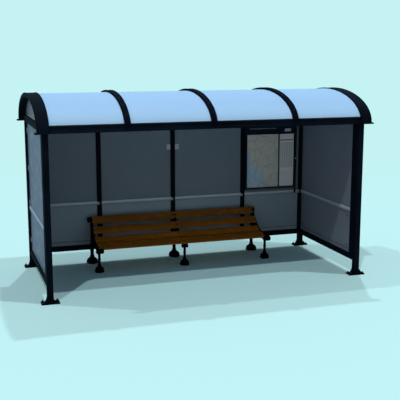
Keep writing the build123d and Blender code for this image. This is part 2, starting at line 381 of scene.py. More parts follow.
# Painted skylight and sky reflection: the side walls' outer faces are deeper and bluer.
OUTSIDE_PAINTED_SKYLIGHT = (0.58, 0.66, 0.88)  # the side walls' outer faces
# Painted shade: the gables, under the hoods, are darker.
GABLE_PAINTED_SHADE = (0.84, 0.82, 0.94)
# Painted light: the seat's slats are lighter.
SEAT_PAINTED_LIGHT = (1.85, 1.66, 1.10)  # the seat's slats


def outside_painted_skylight(m, tone, where=1.0):
    """The outer faces of the side walls, painted deeper and bluer than the inner ones as skylight and
    sky reflection.
    """
    outside = m.grey(m.math("ABSOLUTE", m.axis("X")), POST_X, POST_X + 0.002)
    return m.mix(m.times(outside, where), tone, OUTSIDE_PAINTED_SKYLIGHT, "MULTIPLY")


def paint_material(name, base, dust, roughness=0.68, cast=0.0):
    """Powder-coated steel, dusty near the ground and darker just above it; cast gives it a casting's
    coarser skin.
    """
    m = Material(name, specular=0.008)
    patches = m.noise(2.2, 5, roughness=0.6)
    tone = m.ramp(patches, [(0.35, shade(base, 0.75)), (0.68, shade(base, 1.35))])
    low_down = m.grey(m.axis("Z"), 0.0, 0.42, 1.0, 0.0)
    specks = m.grey(m.noise(46, 6, roughness=0.7), 0.5, 0.72)
    streaks = m.grey(m.noise(14, stretch=(1, 1, 0.12)), 0.60, 0.80, 0.0, 0.08)
    tone = m.mix(m.math("MAXIMUM", m.times(low_down, specks, 0.16), streaks), tone, dust)
    # Darker just above the ground.
    tone = m.mix(m.grey(m.axis("Z"), 0.05, 0.14, 0.75, 0.0), tone, DARK_NEAR_GROUND)
    m.colour(tone)
    m.rough(m.grey(m.noise(30), 0.3, 0.7, roughness - 0.07, roughness + 0.1))
    peel = m.noise(110 if cast else 420, 3, roughness=0.5)
    m.bump(peel, 0.12 + cast, 0.0004 + cast * 0.001, edge=0.003)
    return m.material


def wall_painted_light_and_shade(m, tone, height):
    """Painted light and shade on the walls: lighter lower panes on the back wall, lighter side walls,
    painted skylight on the side walls' outer faces, and darker gables.
    """
    on_back = m.grey(m.axis("Y"), BEAM_INNER, BEAM_INNER + 0.01)
    # Painted light on the back wall's lower panes.
    low_bay = m.grey(height, WAIST_LOW - 0.01, WAIST_LOW, 1.0, 0.0)
    tone = m.mix(m.times(on_back, low_bay), tone, LOW_BAY_PAINTED_LIGHT, "MULTIPLY")
    # Painted light on the side walls.
    on_side = m.grey(m.math("ABSOLUTE", m.axis("X")), POST_INNER_X - 0.01, POST_INNER_X)
    tone = m.mix(on_side, tone, SIDE_WALL_PAINTED_LIGHT, "MULTIPLY")
    # Painted skylight on the side walls' outer faces, below the gables.
    tone = outside_painted_skylight(m, tone, m.grey(height, HEADROOM, HEADROOM + 0.01, 1.0, 0.0))
    # Painted shade on the gables.
    return m.mix(m.grey(height, HEADROOM, HEADROOM + 0.01), tone, GABLE_PAINTED_SHADE, "MULTIPLY")


def glazing_material(name, deep, pale, grime, roughness=0.4, eaves=None):
    """Clouded glazing, streaked and grimy above each rail; eaves is painted light that brightens a
    roof's lower edge.
    """
    m = Material(name, specular=0.05)
    cloud = m.noise(1.5, distortion=0.3)
    speckle = m.noise(240, 3, roughness=0.7)
    tone = m.ramp(cloud, [(0.3, deep), (0.7, pale)])
    tone = m.mix(m.grey(speckle, 0.3, 0.7, 0.0, 0.2), tone, shade(deep, 0.86))
    streaks = m.grey(m.noise(24, stretch=(1, 1, 0.035)), 0.5, 0.74, 0.0, 0.22)
    tone = m.mix(streaks, tone, shade(pale, 1.07))
    height = m.axis("Z")
    foot_low = m.grey(height, RAIL_TOP, RAIL_TOP + 0.16, grime, 0.0)
    above_waist = m.grey(height, WAIST_HIGH, WAIST_HIGH + 0.10, grime * 0.7, 0.0)
    over_waist = m.grey(height, WAIST_LOW, WAIST_HIGH)
    band = m.math("MAXIMUM", foot_low, m.times(above_waist, over_waist))
    patchy = m.grey(m.noise(9, 5, roughness=0.65), 0.36, 0.66)
    tone = m.mix(m.times(band, patchy), tone, shade(deep, 0.55))
    if eaves:
        # Painted light: the roof is brighter towards its lower edges.
        eaves_painted_light = m.grey(height, BEAM_TOP, BEAM_TOP + 0.22, 1.0, 0.0)
        tone = m.mix(eaves_painted_light, tone, eaves, "ADD")
    else:
        tone = wall_painted_light_and_shade(m, tone, height)
    m.colour(tone)
    m.rough(m.grey(m.noise(7, 5, roughness=0.6), 0.3, 0.7, roughness - 0.06, roughness + 0.14))
    m.bump(m.noise(60, 3), 0.06, 0.0006)
    return m.material


def metal_material(name, base, brushing=(0.02, 1, 1), metallic=0.05, roughness=0.42, foot=None):
    """Satin metal with fine brushing along one axis; foot is the colour of a rail's foot, painted shade
    under its lit top, and with it the rail takes the side walls' painted skylight outside.
    """
    m = Material(name, specular=0.12, metallic=metallic)
    lines = m.noise(700, 3, stretch=brushing, roughness=0.6)
    stains = m.noise(6, 5, roughness=0.65)
    tone = m.ramp(lines, [(0.3, shade(base, 0.86)), (0.7, shade(base, 1.1))])
    tone = m.mix(m.grey(stains, 0.5, 0.75, 0.0, 0.35), tone, shade(base, 0.66))
    if foot:
        # Painted shade: the rail's foot is darker than its lit top.
        shaded_foot_mask = m.grey(m.axis("Z"), WAIST_LOW + 0.010, WAIST_LOW + 0.038, 1.0, 0.0)
        tone = outside_painted_skylight(m, m.mix(shaded_foot_mask, tone, foot))
    m.colour(tone)
    m.rough(m.grey(lines, 0.25, 0.75, roughness - 0.08, roughness + 0.12))
    m.bump(lines, 0.15, 0.0002, edge=0.0015)
    return m.material


def timber_material():
    """Oiled hardwood with long grain, pores and patches of wear, a painted highlight towards the ends of
    each slat, and painted light on the seat.
    """
    grain_tone, pore_tone = (0.130, 0.047, 0.007), (0.070, 0.025, 0.005)
    wear_and_highlight_tone = (0.46, 0.240, 0.075)
    m = Material("bench_timber", specular=0.04)
    figure = m.noise(9, 6, stretch=(0.12, 1.2, 1.2), distortion=0.6)
    grain = m.noise(70, 5, stretch=(0.035, 1, 1), roughness=0.7)
    pores = m.noise(330, 3, stretch=(0.05, 1, 1), roughness=0.75)
    tone = m.ramp(figure, [
        (0.28, (0.178, 0.067, 0.008)), (0.45, (0.212, 0.082, 0.011)),
        (0.60, (0.246, 0.102, 0.014)), (0.76, (0.190, 0.072, 0.009)),
    ])
    tone = m.mix(m.grey(grain, 0.42, 0.70, 0.0, 0.5), tone, grain_tone)
    tone = m.mix(m.grey(pores, 0.58, 0.74, 0.0, 0.6), tone, pore_tone)
    along = m.math("ABSOLUTE", m.axis("X"))
    # Painted highlight: the slats are lighter towards their ends; worn adds random patches of real wear.
    ends = m.grey(along, SLAT_END - 0.05, SLAT_END - 0.004, 0.0, 0.6)
    worn = m.times(m.grey(m.noise(16, 5, stretch=(0.5, 1, 1)), 0.55, 0.75), 0.35)
    tone = m.mix(m.math("MAXIMUM", m.times(ends, figure), worn), tone, wear_and_highlight_tone)
    # Painted light: the seat's slats are lighter than the back's.
    seat = m.grey(m.axis("Z"), 0.42, 0.60, 1.0, 0.0)
    m.colour(m.mix(seat, tone, SEAT_PAINTED_LIGHT, "MULTIPLY"))
    m.rough(m.grey(grain, 0.3, 0.7, 0.42, 0.66))
    m.bump(m.math("ADD", m.times(grain, 0.7), pores), 0.35, 0.0009)
    return m.material


def print_material(name, draw):
    """A printed sheet, whose colour draw works out from X and Z."""
    m = Material(name, specular=0.12, roughness=0.38)
    m.colour(draw(m, m.axis("X"), m.axis("Z")))
    m.bump(m.noise(30, 2), 0.04, 0.0005)
    return m.material


def voronoi_lines(m, stretch, scale, randomness, offset=(0, 0, 0)):
    """The distance to the nearest line of a net."""
    values = {"Vector": m.stretched(stretch, offset), "Scale": scale, "Randomness": randomness}
    net = m.node("ShaderNodeTexVoronoi", values, feature="DISTANCE_TO_EDGE")
    return net.outputs["Distance"]


def map_colour(m, x, z):
    """A generic area map: pale land, an inlet, a street net and a plain margin."""
    land, park, block = (0.66, 0.71, 0.59), (0.49, 0.60, 0.44), (0.60, 0.66, 0.62)
    sea, lane, road = (0.44, 0.70, 0.84), (0.84, 0.86, 0.80), (0.40, 0.42, 0.42)
    paper = (0.88, 0.95, 0.95)
    low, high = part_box("map_board")
    coast = m.noise(2.6, 3, roughness=0.5)
    coast = m.math("ADD", coast, m.grey(x, low.x, high.x, 0.10, -0.20))
    coast = m.math("ADD", coast, m.grey(z, low.z, high.z, 0.16, -0.22))
    tone = m.mix(m.grey(m.noise(7.5, 3), 0.60, 0.615, 0.0, 0.55), land, park)
    tone = m.mix(m.grey(m.noise(26, roughness=0.7), 0.45, 0.65, 0.0, 0.35), tone, block)
    tone = m.mix(m.grey(coast, 0.545, 0.553), tone, sea)
    lanes = voronoi_lines(m, (1, 1, 1.35), 21.0, 0.85)
    roads = voronoi_lines(m, (1, 1, 0.8), 6.0, 1.0, (0.4, 0, 0.7))
    tone = m.mix(m.grey(lanes, 0.02, 0.06, 0.55, 0.0), tone, lane)
    tone = m.mix(m.grey(roads, 0.010, 0.018, 0.9, 0.0), tone, road)
    side, end = (
        m.math("MINIMUM", m.math("SUBTRACT", place, first), m.math("SUBTRACT", last, place))
        for place, first, last in ((x, low.x, high.x), (z, low.z, high.z))
    )
    margin = m.grey(m.math("MINIMUM", side, end), 0.014, 0.016, 1.0, 0.0)
    return m.mix(margin, tone, paper)


def timetable_colour(m, x, z):
    """A generic timetable sheet: a title rule, columns of plain dashes and a tinted foot."""
    paper_low, paper_high = (0.84, 0.92, 0.87), (0.90, 0.96, 0.91)
    wash, dash = (0.44, 0.50, 0.53), (0.26, 0.30, 0.33)
    rule, foot = (0.05, 0.07, 0.09), (0.66, 0.80, 0.92)
    low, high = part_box("timetable_board")
    across, up = m.grey(x, low.x, high.x), m.grey(z, low.z, high.z)
    paper = m.mix(m.grey(m.noise(5), 0.3, 0.7), paper_low, paper_high)
    dashes = m.node("ShaderNodeTexBrick", {
        "Vector": m.node("ShaderNodeCombineXYZ", {"X": x, "Y": z}).outputs["Vector"],
        "Scale": 1.0, "Brick Width": 0.026, "Row Height": 0.0085,
        "Mortar Size": 0.0027, "Mortar Smooth": 0.2,
        "Color1": opaque((0.0,) * 3), "Color2": opaque((0.35,) * 3), "Mortar": opaque((1.0,) * 3),
    }, offset=0.0).outputs["Color"]
    waves = {"Vector": m.stretched((1, 0, 0)), "Scale": 7.4}
    columns = m.node("ShaderNodeTexWave", waves, bands_direction="X").outputs["Fac"]
    inside = m.between(across, 0.06, 0.93)
    block = m.times(m.between(up, 0.36, 0.84), inside, m.grey(columns, 0.1, 0.16))
    tone = m.mix(m.times(block, 0.4), paper, wash)
    tone = m.mix(m.times(block, m.grey(dashes, 0.2, 0.6, 0.5, 0.0)), tone, dash)
    tone = m.mix(m.times(m.between(up, 0.868, 0.884, 0.004), inside), tone, rule)
    return m.mix(m.times(m.between(up, 0.05, 0.31), inside, 0.25), tone, foot)


def rubber_material():
    """Dull black rubber."""
    m = Material("gasket_rubber", specular=0.2)
    m.colour(m.ramp(m.noise(55), [(0.35, (0.010, 0.012, 0.014)), (0.7, (0.022, 0.025, 0.027))]))
    m.rough(m.grey(m.noise(80, 3), 0.3, 0.7, 0.6, 0.8))
    m.bump(m.noise(300, 2), 0.1, 0.0003)
    return m.material


PAINT = paint_material("frame_paint", base=(0.0042, 0.0078, 0.0142), dust=(0.022, 0.028, 0.034))
# Painted shade: the ribs take a darker copy of the frame paint.
RIB_SHADED_PAINT = paint_material("rib_shaded_paint", base=(0.0028, 0.0048, 0.0116), dust=(0.018, 0.024, 0.030))
CASE_PAINT = paint_material(
    "case_paint", base=(0.0100, 0.0180, 0.0300), dust=(0.030, 0.036, 0.044), roughness=0.5
)
CASTING = paint_material(
    "bench_casting", base=(0.0036, 0.0038, 0.0048), dust=(0.020, 0.012, 0.012), roughness=0.6, cast=0.25
)
WALL = glazing_material("wall_glazing", (0.188, 0.252, 0.290), (0.206, 0.274, 0.314), grime=0.08)
ROOF = glazing_material(
    "roof_glazing", (0.335, 0.575, 0.890), (0.343, 0.588, 0.905), grime=0.0, roughness=0.5,
    # Painted light at the roof's lower edges.
    eaves=(0.095, 0.130, 0.085),
)
PALE = glazing_material("bare_plate", (0.52, 0.58, 0.62), (0.57, 0.63, 0.67), grime=0.0)
STRIP = metal_material("rail_aluminium", (0.34, 0.40, 0.44))
# The waist rails' foot colour is painted shade.
WAIST = metal_material("waist_aluminium", (0.58, 0.67, 0.71), foot=(0.26, 0.34, 0.40))
BEAD = metal_material("bead_metal", (0.052, 0.068, 0.080))
BLACK = metal_material("bolt_black", (0.008, 0.010, 0.013), (1, 1, 1), metallic=0.3, roughness=0.5)
TIMBER = timber_material()
RUBBER = rubber_material()


def finish_cad_nodes():
    """Give every CAD node the material of the first row whose word its name has."""
    looks = (
        ("map_board", print_material("map_print", map_colour)),
        ("timetable_board", print_material("timetable_print", timetable_colour)),
        ("display", CASE_PAINT), ("panel", WALL), ("sheet", ROOF), ("waist", STRIP),
        ("slats", TIMBER), ("support", CASTING), ("", PAINT),
    )
    for name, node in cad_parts.items():
        node.data.materials.clear()
        node.data.materials.append(next(look for word, look in looks if word in name))


# ---- Roof ----
def build_ribs():
    """Three T-shaped ribs with lipped caps, shoes at their feet and rows of cap screws."""
    cap_depth, stem_half, stem_foot, soft = 0.032, 0.025, 0.072, 0.003
    shoe_x, shoe_y, shoe_height = 0.052, 0.044, 0.010
    screw = [(0.0085, -0.001), (0.0085, 0.0008), (0.0065, 0.0022), (0.003, 0.0028)]
    stem = [(stem_half, cap_depth), (stem_half, stem_foot - soft), (stem_half - soft, stem_foot)]
    section = lipped_section(-RIB_HALF, RIB_HALF, cap_depth, 0.009, 0.004) + mirrored(stem)
    for number, x in enumerate(RIB_XS, 1):
        rib = Shape()
        rib.loft(vault_sweep([(x + a, inset) for a, inset in section], BEAM_TOP))
        for side in FACES:
            y = side * vault_point(0.038, 0.0, BEAM_TOP, 0)[0]
            low = (x - shoe_x, y - shoe_y, BEAM_TOP)
            rib.box(low, (x + shoe_x, y + shoe_y, BEAM_TOP + shoe_height), 0.003)
        rib.make(f"rib_{number}", RIB_SHADED_PAINT, "frame_paint", [f"roof_rib_{number}"])
        screws = Shape()
        for k in range(1, 10):
            y, z = vault_point(0.004, 0.0, BEAM_TOP, k / 10)
            out = Vector((0, y / HALF_SPAN ** 2, (z - SPRINGING) / RISE ** 2)).normalized()
            screws.lathe(screw, slanted_place(Vector((x, y, z)), out), 12)
        screws.make(f"rib_{number}_screws", BLACK, "frame_paint")


def build_sheets():
    """Four smooth roof sheets, each with a rubber gasket along its edges."""
    outer, inner = 0.0323, 0.0403
    gaskets = Shape()
    spans = [span(f"roof_sheet_{number}", "x") for number in (1, 2, 3, 4)]
    for number, (x0, x1) in enumerate(spans, 1):
        sheet = Shape()
        corners = [(x0, outer), (x1, outer), (x1, inner), (x0, inner)]
        sheet.loft(vault_sweep(corners, BEAM_TOP, stations=120))
        sheet.make(f"vault_sheet_{number}", ROOF, "roof_glazing", [f"roof_sheet_{number}"])
        for x, side, at_arch in ((x0, 1, number == 1), (x1, -1, number == 4)):
            end = x + side * (0.007 if at_arch else 0.019)
            strip = [(x, outer), (x, outer - 0.003), (end, outer - 0.002), (end, outer)]
            gaskets.loft(vault_sweep(strip, BEAM_TOP))
    y, z = vault_point(outer, 0.0, BEAM_TOP, 0)
    for side in FACES:
        for x0, x1 in spans:
            gaskets.box((x0, side * (y - 0.012), z), (x1, side * (y + 0.005), z + 0.012), 0.003)
    gaskets.make("roof_gaskets", RUBBER, "frame_paint")


def build_end_arches():
    """End hoods with lipped faces that fold down over the ends of the beams."""
    end, face, band = ROOF_END_X, 0.030, 0.060  # the depths of the outer and the inner band
    bands = (  # section, foot, stations
        (lipped_section(ARCH_INNER_X, end, face, 0.011, 0.004), HEADROOM, 120),
        ([(ARCH_INNER_X, face), (OUTER_X, face), (OUTER_X, band), (ARCH_INNER_X, band)], BEAM_TOP, 96),
        ([(OUTER_X, face), (end, face), (end, band - 0.003), (end - 0.003, band), (OUTER_X, band)],
         HEADROOM, 96),
        ([(end, 0.004), (end + 0.003, 0.006), (end + 0.003, 0.013), (end, 0.015)], HEADROOM, 96),
    )
    foot_top, foot_inner_y = HEADROOM + 0.022, 1.028
    clear_x, clear_y = OUTER_X + 0.0005, 1.0585  # just past the ends and the faces of the beams
    for name, side in SIDES:
        hood = Shape()
        for section, foot, stations in bands:
            section = [(side * x, inset) for x, inset in section]
            hood.loft(vault_sweep(section, foot, ARCH_DROP, stations))
        for row in FACES:
            tip = (side * FOOT_TIP_X, row * FOOT_TIP_Y, foot_top)
            hood.box((side * ARCH_INNER_X, row * clear_y, HEADROOM), tip, 0.004)
            tip = (side * FOOT_TIP_X, row * clear_y, foot_top)
            hood.box((side * clear_x, row * foot_inner_y, HEADROOM), tip, 0.004)
        hood.make(f"{name}_hood", PAINT, "frame_paint", [f"{name}_end_arch"])


def build_beams():
    """Eaves beams with rounded edges and a recessed outer face."""
    soft, lip, recess = 0.003, 0.014, 0.006
    face, inner = BEAM_OUTER, BEAM_INNER
    edge = [
        (inner, soft), (inner + soft, 0), (face - soft, 0), (face, soft),
        (face, lip - soft), (face - recess, lip + soft),
    ]
    section = [(y, HEADROOM + z) for y, z in edge] + [(y, BEAM_TOP - z) for y, z in edge[::-1]]
    for name, side in (("front", -1), ("back", 1)):
        beam = Shape()
        beam.loft([[(x, side * y, z) for y, z in section] for x in (-OUTER_X, OUTER_X)])
        beam.make(f"{name}_eaves", PAINT, "frame_paint", [f"{name}_beam"], sharp=50)


def build_gable_trim():
    """A rubber bead round each gable panel and a pale strip along its foot."""
    depth, half_length, height = 0.007, 0.98, 0.020
    for name, side in SIDES:
        trim, strip = Shape(), Shape()
        for face in FACES:
            x0 = side * POST_X + face * HALF_GLAZING
            x1 = x0 + face * depth
            bead = [(x0, 0.0605), (x1, 0.0605), (x1, 0.070), (x0, 0.073)]
            trim.loft(vault_sweep(bead, BEAM_TOP, ARCH_DROP))
            strip.box((x0, -half_length, BEAM_TOP), (x1, half_length, BEAM_TOP + height), 0.002)
        trim.make(f"{name}_gable_gasket", RUBBER, "frame_paint")
        strip.make(f"{name}_gable_strip", STRIP, "rail_aluminium")


# ---- Walls ----
LOWER_PANE = (RAIL_TOP, WAIST_LOW)
UPPER_PANE = (WAIST_HIGH, HEADROOM)


def back_bays():
    """(left, right) of each opening between the posts and mullions of the back wall."""
    return [span(f"back_panel_{number}", "x") for number in (1, 2, 3, 4)]


def wall_panes():
    """(axis, middle of the glass, low corner, high corner) of every pane in the walls."""
    panes = []
    for z0, z1 in (LOWER_PANE, UPPER_PANE):
        panes += [("y", POST_Y, (left, z0), (right, z1)) for left, right in back_bays()]
        panes += [("x", side * POST_X, (PANE_FRONT, z0), (PANE_BACK, z1)) for side in FACES]
    return panes


def pane_strip(shape, axis, level, rise, low, high, ease=0.0012):
    """A strip on a pane, which lies across axis at level; rise is its signed height."""
    (a0, z0), (a1, z1) = low, high
    if axis == "y":
        shape.box((a0, level, z0), (a1, level + rise, z1), ease)
    else:
        shape.box((level, a0, z0), (level + rise, a1, z1), ease)


def pane_frame(shape, axis, level, rise, low, high, width, skip=None):
    """Strips round a pane: foot, head, then the two sides; skip leaves one of them out."""
    (a0, z0), (a1, z1) = low, high
    strips = [
        ((a0, z0), (a1, z0 + width)), ((a0, z1 - width), (a1, z1)),
        ((a0, z0 + width), (a0 + width, z1 - width)), ((a1 - width, z0 + width), (a1, z1 - width)),
    ]
    for number, (strip_low, strip_high) in enumerate(strips):
        if number != skip:
            pane_strip(shape, axis, level, rise, strip_low, strip_high)


def build_pane_trim():
    """Gaskets against the frame, a fine pressed line inside each pane, and a bead at its kick."""
    foot, head = 0, 1
    inset, kick_height = 0.032, 0.340
    gaskets, lines, beads = Shape(), Shape(), Shape()
    for axis, glass, low, high in wall_panes():
        lower = low[1] == RAIL_TOP
        inner_low = (low[0] + inset, low[1] + inset)
        inner_high = (high[0] - inset, high[1] - inset)
        for face in FACES:
            level = glass + face * HALF_GLAZING
            at_waist = head if lower else foot
            pane_frame(gaskets, axis, level, face * 0.005, low, high, 0.009, skip=at_waist)
            pane_frame(lines, axis, level, face * 0.0018, inner_low, inner_high, 0.006)
            if lower:
                ends = (inner_low[0], kick_height), (inner_high[0], kick_height + 0.007)
                pane_strip(beads, axis, level, face * 0.003, *ends, ease=0.001)
    gaskets.make("pane_gaskets", RUBBER, "frame_paint")
    lines.make("pane_lines", WALL, "wall_glazing")
    beads.make("kick_beads", BEAD, "frame_paint")


def build_panel_screws():
    """Screws at the corners of the side walls' lower panes, on both faces."""
    screw = [(0.013, -0.002), (0.013, 0.002), (0.010, 0.005), (0.004, 0.006)]
    screws = Shape()
    for side in FACES:
        for face in FACES:
            x = side * POST_X + face * (HALF_GLAZING + 0.0015)
            for y in (PANE_FRONT + 0.135, PANE_BACK - 0.070):
                for z in (RAIL_TOP + 0.109, WAIST_LOW - 0.075):
                    screws.lathe(screw, across_place(x, y, z, face), 16)
    screws.make("panel_screws", BLACK, "frame_paint")


def build_waist_rails():
    """Waist rails with a rounded cap, a fluted face and a drip edge."""
    section = mirrored([  # (across, up) from the rail's middle
        (0.0120, 0.0285), (0.0165, 0.0270), (0.0195, 0.0235), (0.0200, 0.0190),
        (0.0200, 0.0085), (0.0180, 0.0065), (0.0180, 0.0030), (0.0200, 0.0010),
        (0.0200, -0.0120), (0.0175, -0.0145), (0.0175, -0.0200), (0.0190, -0.0225),
        (0.0165, -0.0270), (0.0120, -0.0285),
    ])
    back = Shape()
    for bay in back_bays():
        back.loft([[(x, POST_Y + a, WAIST_MIDDLE + b) for a, b in section] for x in bay])
    back.make("back_waist_strip", WAIST, "rail_aluminium", ["back_waist_rail"], sharp=24)
    for name, side in SIDES:
        rail = Shape()
        ends = (PANE_FRONT, PANE_BACK)
        rail.loft([[(side * POST_X + a, y, WAIST_MIDDLE + b) for a, b in section] for y in ends])
        rail.make(f"{name}_waist_strip", WAIST, "rail_aluminium", [f"{name}_waist_rail"], sharp=24)


def build_panel_clamps():
    """Clamps where the waist rails meet the uprights, and along the back of the side walls."""
    clamps = Shape()
    low, high = WAIST_MIDDLE - 0.020, WAIST_MIDDLE + 0.020
    for x in RIB_XS:
        clamps.box((x - 0.034, POST_Y - 0.0345, low), (x - 0.004, POST_Y - 0.0295, high))
    low, high = WAIST_MIDDLE - 0.022, WAIST_MIDDLE + 0.022
    for side in FACES:
        x = side * POST_INNER_X
        clamps.box((x, POST_Y - 0.0245, low), (x - side * 0.035, POST_Y - 0.0195, high))
    for foot in (2.06, 1.50, WAIST_HIGH + 0.02, 0.40):
        for side in FACES:
            x = side * (POST_X + HALF_GLAZING)
            low = (x, PANE_BACK - 0.034, foot)
            clamps.box(low, (x + side * 0.010, PANE_BACK, foot + 0.075), 0.003)
    clamps.make("panel_clamps", STRIP, "rail_aluminium")


def build_bare_plates():
    """Two plain plates beside the middle mullion, under the eaves."""
    width, low, high = 0.068, 1.722, 1.808
    y = POST_Y - HALF_GLAZING
    plates = Shape()
    for left in (-0.100, 0.034):
        plates.box((left, y - 0.004, low), (left + width, y, high), 0.002)
    plates.make("bare_plates", PALE, "wall_glazing")


def build_corner_beads():
    """Beads in the corners between the back wall and its posts."""
    beads = Shape()
    for side in FACES:
        x = side * POST_INNER_X
        for low, high in (LOWER_PANE, UPPER_PANE):
            front = (x - side * 0.022, POST_Y - 0.024, low)
            beads.box(front, (x, POST_Y - HALF_GLAZING, high), 0.003)
    beads.make("corner_beads", PAINT, "frame_paint")


# ---- Post feet ----
def build_anchor_bolts(name, x, y):
    """Four anchor bolts through a base plate, each with a washer, a nut and a thread's end."""
    washer = [(0.016, 0), (0.016, 0.0022), (0.015, 0.003)]
    nut = [(0.0125, 0.003), (0.0138, 0.0045), (0.0138, 0.0135), (0.0118, 0.0152)]
    thread = [(0.0058, 0.014), (0.0058, 0.025), (0.0046, 0.0268)]
    bolts = Shape()
    for dx in (-0.096, 0.096):
        for dy in (-0.042, 0.042):
            place = upright_place(x + dx, y + dy, PLATE_TOP)
            for profile, sides in ((washer, 24), (nut, 6), (thread, 16)):
                bolts.lathe(profile, place, sides)
    bolts.make(f"{name}_anchor_bolts", BLACK, "rail_aluminium")


def build_weld(name, x, y):
    """Welds round the head and the foot of a post's collar."""
    bead = 0.005
    weld = Shape()
    for level, reach in (
        (PLATE_TOP + COLLAR_HEIGHT, POST_HALF + 0.0005), (PLATE_TOP, POST_HALF + COLLAR_FLARE)
    ):
        inner = rounded_section(2 * reach, 2 * reach, 0.004, 2)
        outer = rounded_section(2 * (reach + bead), 2 * (reach + bead), 0.008, 2)
        weld.loft([
            [(x + a, y + b, level) for a, b in outer],
            [(x + a * 0.985, y + b * 0.985, level + bead * 0.6) for a, b in outer],
            [(x + a, y + b, level + bead) for a, b in inner],
        ])
    weld.make(f"{name}_weld", PAINT, "frame_paint", sharp=60)


def build_post_feet():
    """Bolts and welds on the four base plates."""
    for row, y in (("front", -POST_Y), ("back", POST_Y)):
        for side_name, side in SIDES:
            for build in (build_anchor_bolts, build_weld):
                build(f"{row}_{side_name}", side * POST_X, y)


# ---- Bench ----
SUPPORT_FOOT = 0.300  # the bar at the foot of a support, on top of its legs
BAR_HALF = 0.017
WEB_HALF = 0.007
RIM_PLAY = 0.001  # between the end supports' rims and the slats
RIM_THICKNESS = 0.016
RIM_START = 0.245  # the rims run from here, forward of the rear legs, to the tip
BAR_TIP = (0.600, 0.331)
REAR_LEG = (0.027, 0.089)  # radius of the leg and of its foot
FRONT_LEG = (0.020, 0.071)
BELL = (  # share of the foot's radius, height
    (0.965, 0.028), (0.96, 0.040), (0.93, 0.050), (0.86, 0.060), (0.75, 0.070),
    (0.62, 0.079), (0.50, 0.087), (0.40, 0.095), (0.34, 0.101),
)


def slat_point(slat, depth, along=0.0):
    """(forward, up) of a point below a slat's face, moved along its slope towards the back."""
    forward, height, slope, _ = slat
    t = radians(slope)
    return forward - depth * sin(t) - along * cos(t), height - depth * cos(t) + along * sin(t)


def smooth_path(points, steps=10):
    """Points along a smooth curve through the given ones."""
    ends = [points[0]] + list(points) + [points[-1]]
    path = []
    for k in range(len(points) - 1):
        p0, p1, p2, p3 = (Vector(p) for p in ends[k:k + 4])
        for s in range(steps):
            t = s / steps
            a = 2 * p1 + (p2 - p0) * t
            b = (2 * p0 - 5 * p1 + 4 * p2 - p3) * t * t
            c = (3 * p1 - p0 - 3 * p2 + p3) * t ** 3
            path.append((a + b + c) * 0.5)
    path.append(Vector(points[-1]))
    return path


def slat_rings(slat):
    """Rings of a slat with rounded edges and ends, from its left end to its right one."""
    t = radians(slat[2])
    forward, height = slat_point(slat, SLAT_THICKNESS / 2)
    half_ends = [(SLAT_END, 0.0040), (SLAT_END - 0.0012, 0.0012), (SLAT_END - 0.004, 0)]
    rings = []
    for x, inset in [(-x, inset) for x, inset in half_ends] + half_ends[::-1]:
        section = rounded_section(slat[3] - 2 * inset, SLAT_THICKNESS - 2 * inset, 0.0055)
        rings.append([
            (x, BENCH_Y - (forward - a * cos(t) + b * sin(t)), height + a * sin(t) + b * cos(t))
            for a, b in section
        ])
    return rings


def build_slats():
    """Five hardwood slats with rounded edges, bolted to the supports."""
    bolt_x = SLAT_END - 0.014
    bolt = [
        (0.0105, -0.0012), (0.0105, 0.0006), (0.0085, 0.0008), (0.0078, 0.0026),
        (0.0055, 0.0040), (0.0020, 0.0046),
    ]
    for node, slats in SLATS.items():
        boards, bolts = Shape(), Shape()
        for slat in slats:
            boards.loft(slat_rings(slat))
            t = radians(slat[2])
            forward, height = slat_point(slat, 0.0)
            for x in (-bolt_x, 0.0, bolt_x):
                centre, out = Vector((x, BENCH_Y - forward, height)), Vector((0, -sin(t), cos(t)))
                bolts.lathe(bolt, slanted_place(centre, out), 20)
        boards.make(f"{node}_boards", TIMBER, "bench_timber", [node])
        bolts.make(f"{node}_bolts", CASTING, "bench_casting")


def scroll_profile(radius, half_width, rim):
    """A rolled scroll's section from end to end: hub, dished cheek and rounded rim."""
    half = [(0.001, half_width - 0.003), (radius * 0.16, half_width - 0.002)]
    half += [(radius * 0.24, half_width - 0.007), (radius * 0.52, half_width - 0.011)]
    if rim < 0.02:
        half += [(radius - rim * 0.6 - 0.012, half_width - 0.006), (radius - rim, half_width)]
    for k in range(1, 7):
        t = pi / 2 * k / 6
        half.append((radius - rim + rim * sin(t), half_width - rim + rim * cos(t)))
    return [(r, -a) for r, a in half] + half[::-1]


def leg_profile(leg, foot, height):
    """A turned leg on a domed bell foot, from the ground up, with a collar and a ring."""
    ring = height * 0.66
    profile = [(foot - 0.005, 0.0), (foot, 0.004), (foot, 0.022), (foot - 0.002, 0.025)]
    profile += [(foot * share, z) for share, z in BELL]
    return profile + [(leg * share, z) for share, z in (
        (1.3, 0.106), (1.36, 0.111), (1.3, 0.116), (1.02, 0.120),
        (0.96, ring - 0.012), (1.16, ring - 0.006), (1.2, ring), (1.16, ring + 0.006),
        (0.96, ring + 0.012), (1.0, height),
    )]


def bar_rings(x, top, bottom, section):
    """Rings of a section of (across, share of the depth) swept along the bar's two edges."""
    rings = []
    for upper, lower in zip(top, bottom):
        mixed = [(across, upper.lerp(lower, share)) for across, share in section]
        rings.append([(x + across, BENCH_Y - p.x, p.y) for across, p in mixed])
    return rings


def bar_edge(depth):
    """A smooth line at a depth below the slats' faces, from the upright's head to the tip."""
    head = slat_point(ALL_SLATS[0], depth, 0.058)
    return smooth_path([head] + [slat_point(slat, depth) for slat in ALL_SLATS] + [BAR_TIP])


